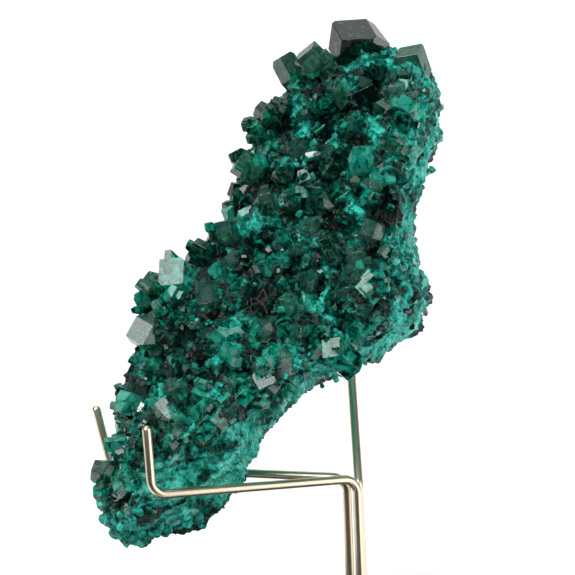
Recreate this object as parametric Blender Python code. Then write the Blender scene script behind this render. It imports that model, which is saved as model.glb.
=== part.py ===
"""Dioptase crystals on their matrix, held up by a stand of three bent wires on a flat steel foot.

Metres, +Z up. The origin is the centre of the foot's underside, and the crystal face looks along -Y.
"""
import math
import random

import bmesh
import bpy
from mathutils import Matrix, Vector, noise
from mathutils.bvhtree import BVHTree

MM = 0.001

# Driving dimensions
WIRE_RADIUS = 1.0 * MM
WIRE_SIDES_RESOLUTION = 3
BEND_RADIUS = 3.2 * MM
BEND_STEPS = 6
WIRE_GAP = 0.35 * MM
FOOT_LENGTH = 80 * MM
FOOT_DEPTH = 60 * MM
FOOT_THICKNESS = 6 * MM
FOOT_CORNER = 4 * MM
FOOT_CHAMFER = 0.8 * MM
SOCKET_DEPTH = 4.5 * MM
ARM_HEIGHT = 39 * MM
HOOK_HEIGHT = 52.7 * MM

# Slope of dioptase's three rhombohedral end faces: the angle between a face's normal and the long axis
END_FACE_SLOPE = math.radians(51)

# The matrix, as cross-sections from the narrow tail up to the top, in millimetres:
# left edge x, z, right edge x, z, depth towards the front, depth towards the back,
# and how far across the crystal face gives way to the broken side
SECTIONS = (
    (-39.0, 30.5, -28.2, 25.4, 7.0, 7.0, 0.30),
    (-39.5, 37.0, -16.6, 29.5, 14.5, 12.0, 0.30),
    (-37.0, 44.2, -9.4, 36.5, 15.5, 12.5, 0.30),
    (-35.5, 53.0, -4.2, 45.8, 16.5, 13.5, 0.46),
    (-33.3, 61.8, 0.9, 53.7, 17.5, 14.5, 0.78),
    (-31.5, 70.6, 8.4, 60.7, 18.5, 16.0, 0.86),
    (-28.5, 79.0, 20.2, 65.6, 19.0, 17.5, 0.85),
    (-22.8, 85.4, 29.9, 72.8, 19.0, 18.5, 0.82),
    (-15.6, 91.1, 33.0, 80.5, 18.5, 18.5, 0.80),
    (-11.2, 98.6, 29.5, 91.5, 18.0, 18.0, 0.86),
    (-7.2, 107.4, 30.1, 101.4, 17.5, 17.0, 0.88),
    (-4.4, 115.7, 34.3, 111.3, 17.5, 16.0, 0.82),
    (1.0, 122.6, 34.3, 121.2, 16.5, 14.0, 0.84),
    (4.0, 127.6, 32.0, 127.4, 13.5, 11.0, 0.88),
    (9.4, 130.2, 26.4, 130.8, 8.5, 7.5, 0.88),
)
TAIL_REACH = Vector((0.5, 0.0, -4.0)) * MM
TOP_REACH = Vector((0.5, 0.0, 2.5)) * MM
RINGS = 30
POINTS_AROUND = 24
LUMP_HEIGHT = 1.0 * MM
LUMP_SIZE = 11 * MM
BLOCK_HEIGHT = 1.9 * MM
BLOCK_SIZE = 15 * MM
LEDGE_HEIGHT = 1.3 * MM
LEDGE_SPACING = 11 * MM

# The crystals that a viewer picks out, in millimetres: x, z and prism radius, then which way the
# long axis leans to the right and upwards for each unit towards the viewer
MAIN_CRYSTALS = (
    (13.2, 134.9, 6.0, -0.40, 0.12),
    (6.6, 132.4, 4.0, -0.1, 0.6),
    (0.2, 130.2, 3.6, -0.5, 0.5),
    (29.2, 130.4, 4.6, 0.25, 0.35),
    (33.4, 126.0, 2.6, 0.9, 0.2),
    (20.1, 125.0, 5.0, 0.35, 0.4),
    (27.9, 117.9, 3.0, 0.7, 0.3),
    (10.6, 117.5, 3.9, 0.1, 0.9),
    (7.7, 122.3, 2.7, -0.4, 0.6),
    (2.2, 123.6, 2.2, -0.6, 0.7),
    (-0.4, 117.0, 2.5, -0.5, 0.6),
    (5.5, 127.2, 3.0, -0.2, 0.8),
    (13.9, 129.4, 2.0, 0.0, 0.8),
    (21.3, 128.6, 2.4, 0.2, 0.4),
    (17.6, 126.3, 1.8, -0.3, 0.8),
    (26.8, 125.6, 2.0, 0.4, 0.8),
    (-5.1, 119.7, 2.4, -1.2, 0.5),
    (-1.1, 121.0, 2.2, -0.6, 0.2),
    (-5.5, 108.2, 3.3, -0.5, 1.0),
    (-5.1, 100.3, 3.0, -0.2, 0.7),
    (-9.2, 102.3, 2.5, -0.9, 0.8),
    (18.5, 111.3, 3.5, 0.3, 0.7),
    (19.4, 102.5, 2.9, 0.3, 0.3),
    (20.5, 95.5, 2.9, 0.4, 0.6),
    (6.6, 95.7, 2.7, 0.0, 0.3),
    (-0.7, 114.0, 2.1, -0.3, 0.7),
    (-7.7, 115.7, 2.4, -1.5, 0.2),
    (0.7, 106.3, 2.5, -0.2, 0.2),
    (5.9, 106.9, 2.1, 0.0, 1.1),
    (12.3, 102.1, 2.5, 0.2, 0.5),
    (7.3, 100.3, 2.3, -0.2, 0.6),
    (25.1, 113.1, 2.3, 0.5, 0.6),
    (-9.7, 96.8, 2.7, -0.9, 0.5),
    (3.7, 90.6, 2.0, -0.3, 0.3),
    (1.3, 94.0, 2.0, 0.1, 0.8),
    (16.9, 89.3, 2.7, 0.3, 0.5),
    (-5.1, 82.1, 4.3, -0.2, 0.8),
    (1.1, 83.8, 2.0, 0.2, 1.1),
    (2.2, 79.0, 2.7, 0.2, 0.2),
    (-26.0, 87.4, 4.5, -0.9, 1.0),
    (-15.4, 83.2, 3.9, -0.1, 0.9),
    (-21.6, 82.6, 2.8, -0.2, 0.5),
    (-33.2, 71.3, 4.3, -1.4, 0.1),
    (-33.0, 62.5, 3.0, -1.2, -0.3),
    (-35.6, 58.0, 2.4, -1.2, 0.6),
    (-35.6, 53.2, 3.6, -0.9, 0.1),
    (-30.0, 55.8, 2.9, -0.2, 0.4),
    (-12.1, 88.4, 3.1, -0.5, 0.9),
    (-15.6, 73.5, 2.3, -0.1, 1.0),
    (-11.2, 74.7, 2.0, 0.1, 0.6),
    (-9.7, 69.4, 2.8, 0.1, 0.3),
    (-32.3, 78.6, 2.5, -1.3, 0.3),
    (-29.7, 83.0, 2.5, -0.9, 0.3),
    (15.4, 72.6, 2.0, 0.0, 0.5),
    (6.6, 86.4, 2.4, 0.2, 1.2),
    (11.9, 80.7, 2.6, 0.2, 0.5),
    (4.4, 73.7, 2.0, 0.0, 0.4),
    (21.6, 83.6, 2.1, 0.4, 0.6),
    (-40.0, 36.1, 3.0, -1.1, -0.3),
    (-39.4, 41.4, 2.3, -1.4, 0.0),
    (-32.4, 45.4, 2.5, -0.3, 0.5),
    (-36.4, 48.2, 2.6, -0.8, 0.4),
    (-26.4, 51.0, 2.3, 0.1, 0.5),
    (-26.4, 78.5, 2.7, -0.4, 0.6),
    (-25.3, 72.0, 2.9, -0.2, 0.3),
    (-20.9, 68.4, 2.7, 0.1, 0.7),
    (-27.5, 65.1, 2.9, -0.3, 0.2),
    (-21.0, 60.8, 2.5, 0.2, 0.4),
    (-18.6, 77.6, 2.4, -0.2, 0.2),
    (-7.4, 92.6, 2.4, -0.5, 0.7),
    (11.6, 92.0, 2.4, 0.2, 0.7),
    (13.8, 97.2, 2.1, 0.1, 0.2),
    (1.8, 101.4, 2.2, -0.1, 0.4),
    (11.0, 108.0, 2.7, 0.1, 0.4),
    (4.4, 112.0, 2.6, -0.2, 0.5),
    (15.4, 117.4, 2.3, 0.2, 0.7),
    (25.3, 106.8, 2.1, 0.6, 0.4),
    (-14.3, 95.4, 2.9, -1.0, 0.8),
    (-10.6, 110.4, 2.3, -1.3, 0.6),
    (-18.9, 91.4, 2.7, -0.8, 0.9),
)
EDGE_CRYSTALS_FORWARD = 10 * MM

# Crystals whose turn shows in the photo: the way that one end face looks, in degrees from right towards up
FACE_LOOKS = {0: 68, 3: 120, 5: 228, 2: 120, 7: 75, 10: 60, 21: 95, 22: 60, 23: 200, 36: 70, 40: 95, 42: 150}

# Crystals with an end face that looks half-way between the viewer and the upper left, and so shows pale
PALE_FACED = (18, 19, 20, 28, 39, 42)
UPPER_LEFT = Vector((-0.45, -0.65, 0.65)).normalized()
SMALL_CRYSTALS_IN_FRONT = 90
SMALL_CRYSTALS_BEHIND = 38
SMALL_RADIUS_RANGE = (1.6 * MM, 2.8 * MM)
SCATTER_SEED = 11

EMERALD = (0.004, 0.105, 0.075, 1.0)
NICKEL_BRASS = (0.72, 0.60, 0.44, 1.0)
BLACK_ENAMEL = (0.012, 0.012, 0.013, 1.0)


def clear_scene():
    for obj in list(bpy.data.objects):
        bpy.data.objects.remove(obj, do_unlink=True)


def material(name, colour, roughness, metallic=0.0):
    mat = bpy.data.materials.new(name)
    mat.use_nodes = True
    shader = mat.node_tree.nodes["Principled BSDF"]
    shader.inputs["Base Color"].default_value = colour
    shader.inputs["Roughness"].default_value = roughness
    shader.inputs["Metallic"].default_value = metallic
    return mat


def new_object(name, mesh, mat=None, helper=False):
    obj = bpy.data.objects.new(name, mesh)
    bpy.context.scene.collection.objects.link(obj)
    if mat:
        obj.data.materials.append(mat)
    if helper:
        obj.hide_render = True
        obj.display_type = "WIRE"
    return obj


def mesh_from(bm, name):
    mesh = bpy.data.meshes.new(name)
    bm.to_mesh(mesh)
    bm.free()
    return mesh


def baked(obj):
    """A copy of the object's mesh with its modifiers applied."""
    graph = bpy.context.evaluated_depsgraph_get()
    return bpy.data.meshes.new_from_object(obj.evaluated_get(graph))


# The body of the specimen

def section_at(height):
    """The section a share of the way up the body, from 0 to 1, on a smooth curve through the table."""
    place = height * (len(SECTIONS) - 1)
    index = min(int(place), len(SECTIONS) - 2)
    t = place - index
    rows = [SECTIONS[min(max(index + step, 0), len(SECTIONS) - 1)] for step in (-1, 0, 1, 2)]
    values = []
    for a, b, c, d in zip(*rows):
        bend = (2 * a - 5 * b + 4 * c - d) * t * t + (3 * b - a - 3 * c + d) * t ** 3
        values.append(0.5 * (2 * b + (c - a) * t + bend))
    return values


def front_depth(across, ridge):
    """The crystal face swells up to the ridge, and the broken side slopes back from there."""
    if across < ridge:
        return math.sin(0.5 * math.pi * across / ridge) ** 0.6
    past = (across - ridge) / (1 - ridge)
    return (1 - 0.42 * past) * math.sqrt(max(0.0, 1 - past ** 7))


def back_depth(across):
    return max(0.0, math.sin(math.pi * across)) ** 0.42


def body_point(height, turn):
    """A point on the smooth body. turn runs from 0 at the left edge over the front, to 1."""
    left_x, left_z, right_x, right_z, front, back, ridge = section_at(height)
    across = 0.5 - 0.5 * math.cos(2 * math.pi * turn)
    if turn < 0.5:
        depth = -front * front_depth(across, ridge)
    else:
        depth = back * back_depth(across)
    x = left_x + (right_x - left_x) * across
    z = left_z + (right_z - left_z) * across
    return Vector((x, depth, z)) * MM


def rock_relief(point):
    """How far the broken rock stands out at a point: lumps, blocks and ledges that run down to the left."""
    lumps = noise.fractal(point / LUMP_SIZE, 1.0, 2.0, 3)
    to_first, to_second = noise.voronoi(point / BLOCK_SIZE)[0][:2]
    blocks = min(1.0, (to_second - to_first) / 0.4)
    across_ledges = (point.z - 0.55 * point.x + 0.4 * point.y) / LEDGE_SPACING
    wander = noise.noise(point / (2 * LUMP_SIZE)) * 1.5
    ledges = abs(math.sin(math.pi * (across_ledges + wander)))
    return LUMP_HEIGHT * lumps + BLOCK_HEIGHT * (blocks - 0.6) + LEDGE_HEIGHT * (ledges - 0.6)


def make_matrix():
    """Rings of points over the body, closed by a point at each end, with the rock's relief."""
    bm = bmesh.new()
    rings = []
    for i in range(RINGS):
        height = i / (RINGS - 1)
        ring = [bm.verts.new(body_point(height, k / POINTS_AROUND)) for k in range(POINTS_AROUND)]
        rings.append(ring)
    for low, high in zip(rings, rings[1:]):
        for k in range(POINTS_AROUND):
            after = (k + 1) % POINTS_AROUND
            bm.faces.new((low[k], low[after], high[after], high[k]))
    for ring, reach in ((rings[0], TAIL_REACH), (rings[-1], TOP_REACH)):
        middle = sum((v.co for v in ring), Vector()) / len(ring)
        pole = bm.verts.new(middle + reach)
        for k in range(POINTS_AROUND):
            bm.faces.new((ring[k], ring[(k + 1) % POINTS_AROUND], pole))
    bmesh.ops.recalc_face_normals(bm, faces=bm.faces)
    bm.normal_update()
    moves = [(v, v.normal * rock_relief(v.co)) for v in bm.verts]
    for v, move in moves:
        v.co += move
    bmesh.ops.triangulate(bm, faces=bm.faces)
    return mesh_from(bm, "matrix")


# The crystals

def crystal_mesh(radius, length, chance):
    """A six-sided prism along +Z, its end cut by three sloping faces that don't quite match."""
    bm = bmesh.new()
    bmesh.ops.create_cone(bm, cap_ends=True, segments=6, radius1=radius, radius2=radius, depth=length)
    squash = chance.uniform(0.82, 1.0)
    bmesh.ops.scale(bm, vec=(1.0, squash, 1.0), verts=bm.verts)
    tip = Vector((0, 0, 0.5 * length))
    for k in range(3):
        around = math.radians(120 * k + 30)
        slope = math.sin(END_FACE_SLOPE)
        normal = Vector((slope * math.cos(around), slope * math.sin(around), math.cos(END_FACE_SLOPE)))
        tip_face = tip - normal * radius * chance.uniform(0.0, 0.42)
        cut = bmesh.ops.bisect_plane(
            bm, geom=bm.verts[:] + bm.edges[:] + bm.faces[:],
            plane_co=tip_face, plane_no=normal, clear_outer=True,
        )
        edges = [e for e in cut["geom_cut"] if isinstance(e, bmesh.types.BMEdge)]
        bmesh.ops.contextual_create(bm, geom=edges)
    bmesh.ops.recalc_face_normals(bm, faces=bm.faces)
    return mesh_from(bm, "crystal")


def place_crystal(head, axis, radius, rise, turn, chance, number):
    """A crystal whose tip is a rise above the head, its long axis along axis and its inner end in the matrix."""
    length = radius * chance.uniform(2.8, 3.3)
    obj = new_object(f"crystal_{number:03d}", crystal_mesh(radius, length, chance), helper=True)
    stand = axis.to_track_quat("Z", "Y").to_matrix().to_4x4()
    middle = head + axis * (rise - 0.5 * length)
    obj.data.transform(Matrix.Translation(middle) @ stand @ Matrix.Rotation(turn, 4, "Z"))
    return obj


def seat(tree, x, z, from_behind=False):
    """Where the line of sight through x, z meets the matrix, or the nearest place on its edge."""
    start = Vector((x, 1.0 if from_behind else -1.0, z))
    place, normal, _, _ = tree.ray_cast(start, Vector((0, -1 if from_behind else 1, 0)))
    if place is None:
        place, normal, _, _ = tree.find_nearest(Vector((x, -EDGE_CRYSTALS_FORWARD, z)))
    return place, normal


def pale_faced(axis):
    """The axis and turn nearest to axis that point one end face half-way between viewer and upper left."""
    face = (Vector((0, -1, 0)) + UPPER_LEFT).normalized()
    aside = (axis - face * axis.dot(face)).normalized()
    axis = face * math.cos(END_FACE_SLOPE) + aside * math.sin(END_FACE_SLOPE)
    towards = axis.to_track_quat("Z", "Y").to_matrix().inverted() @ (face - axis * face.dot(axis))
    return axis, math.atan2(towards.y, towards.x) - math.radians(30)


def turn_to_look(axis, looks):
    """The turn about axis that points one end face the way looks says, as a viewer in front sees it."""
    way = Vector((math.cos(math.radians(looks)), 0, math.sin(math.radians(looks))))
    towards = axis.to_track_quat("Z", "Y").to_matrix().inverted() @ (way - axis * way.dot(axis))
    return math.atan2(towards.y, towards.x) - math.radians(30)


def main_crystals(tree, chance):
    made = []
    for number, (x, z, radius, lean_right, lean_up) in enumerate(MAIN_CRYSTALS):
        place, _ = seat(tree, x * MM, z * MM)
        head = Vector((x * MM, place.y, z * MM))
        axis = Vector((lean_right, -1.0, lean_up)).normalized()
        turn = chance.uniform(0, math.tau)
        if number in PALE_FACED:
            axis, turn = pale_faced(axis)
        elif number in FACE_LOOKS:
            turn = turn_to_look(axis, FACE_LOOKS[number])
        rise = radius * MM * chance.uniform(0.85, 1.2)
        head -= Vector((axis.x, 0, axis.z)) * rise * 0.6
        made.append(place_crystal(head, axis, radius * MM, rise, turn, chance, number))
    return made


def scattered_crystals(tree, chance, count, turns, from_behind, first_number):
    """Small crystals at random places between two turns round the body, leaning any way."""
    made = []
    for k in range(count):
        point = body_point(chance.uniform(0.04, 0.98), chance.uniform(*turns))
        place, normal = seat(tree, point.x, point.z, from_behind)
        lean = Vector([chance.gauss(0, 0.45) for _ in range(3)])
        axis = (normal + lean).normalized()
        radius = chance.uniform(*SMALL_RADIUS_RANGE)
        rise = radius * chance.uniform(0.8, 1.2)
        turn = chance.uniform(0, math.tau)
        made.append(place_crystal(place, axis, radius, rise, turn, chance, first_number + k))
    return made


def wire_path(corners):
    """The corners joined by straight runs, each inner corner rounded to the bend radius."""
    points = [corners[0]]
    for before, corner, after in zip(corners, corners[1:], corners[2:]):
        inward = (before - corner).normalized()
        outward = (after - corner).normalized()
        half = 0.5 * inward.angle(outward)
        reach = BEND_RADIUS / math.tan(half)
        centre = corner + (inward + outward).normalized() * BEND_RADIUS / math.sin(half)
        start = corner + inward * reach - centre
        end = corner + outward * reach - centre
        for step in range(BEND_STEPS + 1):
            points.append(centre + start.slerp(end, step / BEND_STEPS) * BEND_RADIUS)
    points.append(corners[-1])
    return points


def wire(name, corners, radius, mat=None, helper=False):
    """A round wire as a mesh, rounded off at its free tip by a smaller last ring."""
    curve = bpy.data.curves.new(name, "CURVE")
    curve.dimensions = "3D"
    curve.bevel_depth = radius
    curve.bevel_resolution = WIRE_SIDES_RESOLUTION
    curve.use_fill_caps = True
    points = wire_path(corners)
    tip_run = (points[-1] - points[-2]).normalized()
    tip = points.pop()
    tip_steps = ((0.6, 1.0), (0.25, 0.86), (0.0, 0.5))
    points = [(p, 1.0) for p in points] + [(tip - tip_run * WIRE_RADIUS * back, r) for back, r in tip_steps]
    spline = curve.splines.new("POLY")
    spline.points.add(len(points) - 1)
    for slot, (place, share) in zip(spline.points, points):
        slot.co = (*place, 1.0)
        slot.radius = share
    obj = bpy.data.objects.new(name, curve)
    bpy.context.scene.collection.objects.link(obj)
    mesh = baked(obj)
    bpy.data.objects.remove(obj, do_unlink=True)
    mesh.name = name
    made = new_object(name, mesh, mat, helper)
    bm = bmesh.new()
    bm.from_mesh(made.data)
    bmesh.ops.remove_doubles(bm, verts=bm.verts, dist=0.00001)
    bmesh.ops.recalc_face_normals(bm, faces=bm.faces)
    bm.to_mesh(made.data)
    bm.free()
    made.data.shade_smooth()
    made.data.set_sharp_from_angle(angle=math.radians(50))
    return made


def wire_routes():
    """The corners of each wire, from the bottom of its socket in the foot to its free tip."""
    socket = FOOT_THICKNESS - SOCKET_DEPTH + WIRE_GAP
    back_of_stone = 21.5 * MM

    def at(x, y, z):
        return Vector((x, y, z)) * MM

    arm = ARM_HEIGHT / MM
    hook = HOOK_HEIGHT / MM
    low = socket / MM
    return {
        "front_arm_wire": [
            at(18.4, -1.6, low), at(16.9, -1.6, arm), at(-26.9, -18.0, arm - 0.8), at(-28.0, -18.2, hook + 0.3),
        ],
        "rear_arm_wire": [
            at(16.1, 0.9, low), at(14.7, 0.9, arm - 0.2), at(-39.2, 18.0, arm - 0.6), at(-42.8, 18.4, hook),
        ],
        "back_rest_wire": [
            at(19.1, 1.8, low), at(17.5, 2.2, arm - 2), at(16.3, back_of_stone / MM, arm + 24),
            at(15.2, back_of_stone / MM, 96),
        ],
    }


# The stone and the stand

def make_specimen():
    """The matrix and every crystal as one solid, hollowed a little where the wires press on it."""
    chance = random.Random(SCATTER_SEED)
    matrix = new_object("dioptase_specimen", make_matrix(), material("dioptase", EMERALD, 0.2))
    tree = BVHTree.FromObject(matrix, bpy.context.evaluated_depsgraph_get())
    crystals = main_crystals(tree, chance)
    crystals += scattered_crystals(tree, chance, SMALL_CRYSTALS_IN_FRONT, (0.02, 0.36), False, len(crystals))
    crystals += scattered_crystals(tree, chance, SMALL_CRYSTALS_BEHIND, (0.80, 1.0), True, len(crystals))
    druse = bpy.data.collections.new("druse")
    bpy.context.scene.collection.children.link(druse)
    for crystal in crystals:
        bpy.context.scene.collection.objects.unlink(crystal)
        druse.objects.link(crystal)
    grown = matrix.modifiers.new("crystals", "BOOLEAN")
    grown.operation = "UNION"
    grown.solver = "EXACT"
    grown.operand_type = "COLLECTION"
    grown.collection = druse
    for name, corners in wire_routes().items():
        seat_cutter = wire("seat_of_" + name, corners, WIRE_RADIUS + WIRE_GAP, helper=True)
        cut = matrix.modifiers.new("seat of " + name, "BOOLEAN")
        cut.operation = "DIFFERENCE"
        cut.solver = "EXACT"
        cut.object = seat_cutter
    return matrix


def make_wires():
    metal = material("nickel_brass_wire", NICKEL_BRASS, 0.3, 1.0)
    for name, corners in wire_routes().items():
        wire(name, corners, WIRE_RADIUS, metal)


def make_foot():
    """A flat plate with rounded corners and a chamfered rim, drilled for the three wires."""
    bm = bmesh.new()
    bmesh.ops.create_cube(bm, size=1.0)
    bmesh.ops.scale(bm, vec=(FOOT_LENGTH, FOOT_DEPTH, FOOT_THICKNESS), verts=bm.verts)
    bmesh.ops.translate(bm, vec=(0, 0, 0.5 * FOOT_THICKNESS), verts=bm.verts)
    upright = [e for e in bm.edges if abs(e.verts[0].co.z - e.verts[1].co.z) > 0.5 * FOOT_THICKNESS]
    bmesh.ops.bevel(bm, geom=upright, offset=FOOT_CORNER, segments=5, profile=0.5, affect="EDGES")
    rim = [e for e in bm.edges if min(v.co.z for v in e.verts) > 0.9 * FOOT_THICKNESS]
    bmesh.ops.bevel(bm, geom=rim, offset=FOOT_CHAMFER, segments=1, affect="EDGES")
    foot = new_object("stand_foot", mesh_from(bm, "stand_foot"), material("black_enamel", BLACK_ENAMEL, 0.45))
    for name, corners in wire_routes().items():
        bottom = corners[0]
        run = (corners[1] - bottom).normalized()
        drill = bmesh.new()
        bmesh.ops.create_cone(
            drill, cap_ends=True, segments=12, radius1=WIRE_RADIUS + WIRE_GAP,
            radius2=WIRE_RADIUS + WIRE_GAP, depth=4 * SOCKET_DEPTH,
        )
        middle = bottom - run * WIRE_GAP + run * 2 * SOCKET_DEPTH
        drill.transform(Matrix.Translation(middle) @ run.to_track_quat("Z", "Y").to_matrix().to_4x4())
        cutter = new_object("socket_of_" + name, mesh_from(drill, "socket"), helper=True)
        bore = foot.modifiers.new("socket of " + name, "BOOLEAN")
        bore.operation = "DIFFERENCE"
        bore.solver = "EXACT"
        bore.object = cutter
    return foot


clear_scene()
make_specimen()
make_wires()
make_foot()
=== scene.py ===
"""The looks of a dioptase specimen and the wire stand that holds it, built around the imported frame.

Metres, +Z up. The crystal face looks along -Y.
"""
import math
import random

import bpy
import numpy as np
from mathutils import Matrix, Vector, noise
from mathutils.bvhtree import BVHTree


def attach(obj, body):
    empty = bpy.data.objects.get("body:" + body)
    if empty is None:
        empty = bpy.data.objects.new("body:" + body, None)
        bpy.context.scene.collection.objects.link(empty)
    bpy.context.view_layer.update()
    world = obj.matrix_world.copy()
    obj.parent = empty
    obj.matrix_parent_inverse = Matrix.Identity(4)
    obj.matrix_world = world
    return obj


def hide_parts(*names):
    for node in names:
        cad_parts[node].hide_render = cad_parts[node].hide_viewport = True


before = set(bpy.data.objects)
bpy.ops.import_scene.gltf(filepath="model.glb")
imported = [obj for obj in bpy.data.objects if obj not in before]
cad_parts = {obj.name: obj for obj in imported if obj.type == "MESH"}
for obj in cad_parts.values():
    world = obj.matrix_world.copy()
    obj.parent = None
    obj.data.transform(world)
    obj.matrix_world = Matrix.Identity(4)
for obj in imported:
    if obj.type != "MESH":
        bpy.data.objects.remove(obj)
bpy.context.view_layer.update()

MM = 0.001

# The view: the camera stands in front, a little above the middle of the picture
VIEW_MIDDLE = Vector((1.65, 0.0, 81.07)) * MM
VIEW_DISTANCE = 380 * MM
VIEW_RISE = math.radians(3)
PICTURE_WIDTH = 126.5 * MM
SENSOR_WIDTH = 36.0
FLOOR_WIDTH = 5000 * MM
FLOOR_FRONT = 42 * MM
FLOOR_BACK = 4000 * MM

# The matrix, as cross-sections from the narrow tail up to the top, in millimetres:
# left edge x, z, right edge x, z, depth towards the front, depth towards the back,
# and how far across the crystal face gives way to the broken side
SECTIONS = (
    (-39.0, 30.5, -28.2, 25.4, 7.0, 7.0, 0.30),
    (-39.5, 37.0, -16.6, 29.5, 14.5, 12.0, 0.30),
    (-37.0, 44.2, -9.4, 36.5, 15.5, 12.5, 0.30),
    (-35.5, 53.0, -4.2, 45.8, 16.5, 13.5, 0.46),
    (-33.3, 61.8, 0.9, 53.7, 17.5, 14.5, 0.78),
    (-31.5, 70.6, 8.4, 60.7, 18.5, 16.0, 0.86),
    (-28.5, 79.0, 20.2, 65.6, 19.0, 17.5, 0.85),
    (-22.8, 85.4, 29.9, 72.8, 19.0, 18.5, 0.82),
    (-15.6, 91.1, 33.0, 80.5, 18.5, 18.5, 0.80),
    (-11.2, 98.6, 29.5, 91.5, 18.0, 18.0, 0.86),
    (-7.2, 107.4, 30.1, 101.4, 17.5, 17.0, 0.88),
    (-4.4, 115.7, 34.3, 111.3, 17.5, 16.0, 0.82),
    (1.0, 122.6, 34.3, 121.2, 16.5, 14.0, 0.84),
    (4.0, 127.6, 32.0, 127.4, 13.5, 11.0, 0.88),
    (9.4, 130.2, 26.4, 130.8, 8.5, 7.5, 0.88),
)
TAIL_REACH = Vector((0.5, 0.0, -4.0)) * MM
TOP_REACH = Vector((0.5, 0.0, 2.5)) * MM
RINGS = 300
CAP_RINGS = 10
POINTS_AROUND = 300
NORMAL_STEP = 0.004
LUMP_HEIGHT = 1.0 * MM
LUMP_SIZE = 11 * MM
BLOCK_HEIGHT = 1.9 * MM
BLOCK_SIZE = 15 * MM
LEDGE_HEIGHT = 1.3 * MM
LEDGE_SPACING = 11 * MM

# The broken grains, and the layers that run along the broken side
BODY_GIRTH = 150 * MM
BODY_LENGTH = 130 * MM
GRAIN_SIZE = 2.6 * MM
GRAIN_TILT = 0.9
GRAIN_STEP = 0.8 * MM
CRUMB_SIZE = 0.9 * MM
CRUMB_STEP = 0.25 * MM
LAYER_WIDTH = 2.1 * MM
LAYER_RUN = 8.0 * MM
TAIL_LAYERS_RISE = math.radians(14)
TAIL_TOP = 0.36
TAIL_TOP_FADE = 0.08
TAIL_EDGE = 0.97
TAIL_EDGE_FADE = 0.12
SPLINTER_TILT = 0.7
SPLINTER_STEP = 0.7 * MM
MOTTLE_SIZE = 1.8 * MM
PATCH_SIZE = 7 * MM
SPECK_SIZE = 1.1 * MM
FLECK_SIZE = 0.7 * MM
VEIL_SIZE = 1.9 * MM
CRACK_SPACING = 2.6 * MM
CRUST_GRAIN = 1.8 * MM

# The pale veins on the broken side: the corners of each, x and z in millimetres
VEINS = (
    ((4.0, 61.5), (-1.5, 55.9), (-6.5, 49.0), (-11.4, 43.3), (-15.0, 39.4), (-20.9, 34.1), (-28.8, 29.5)),
    ((27.0, 73.0), (20.5, 68.5), (13.0, 65.8), (6.0, 61.0), (-1.0, 52.5), (-4.5, 47.0)),
    ((30.0, 78.5), (24.5, 74.0), (16.0, 70.0), (9.0, 67.5)),
    ((29.6, 116.0), (28.0, 106.0), (27.2, 99.0), (28.6, 91.0), (30.4, 84.0)),
    ((-8.0, 52.0), (-14.0, 50.5), (-19.0, 48.0), (-23.5, 44.0)),
    ((-10.0, 40.5), (-17.0, 37.0), (-23.5, 36.5), (-28.0, 37.5)),
    ((-15.4, 33.0), (-22.0, 31.5), (-27.5, 27.5)),
)
VEIN_WIDTH = 0.5 * MM

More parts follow.
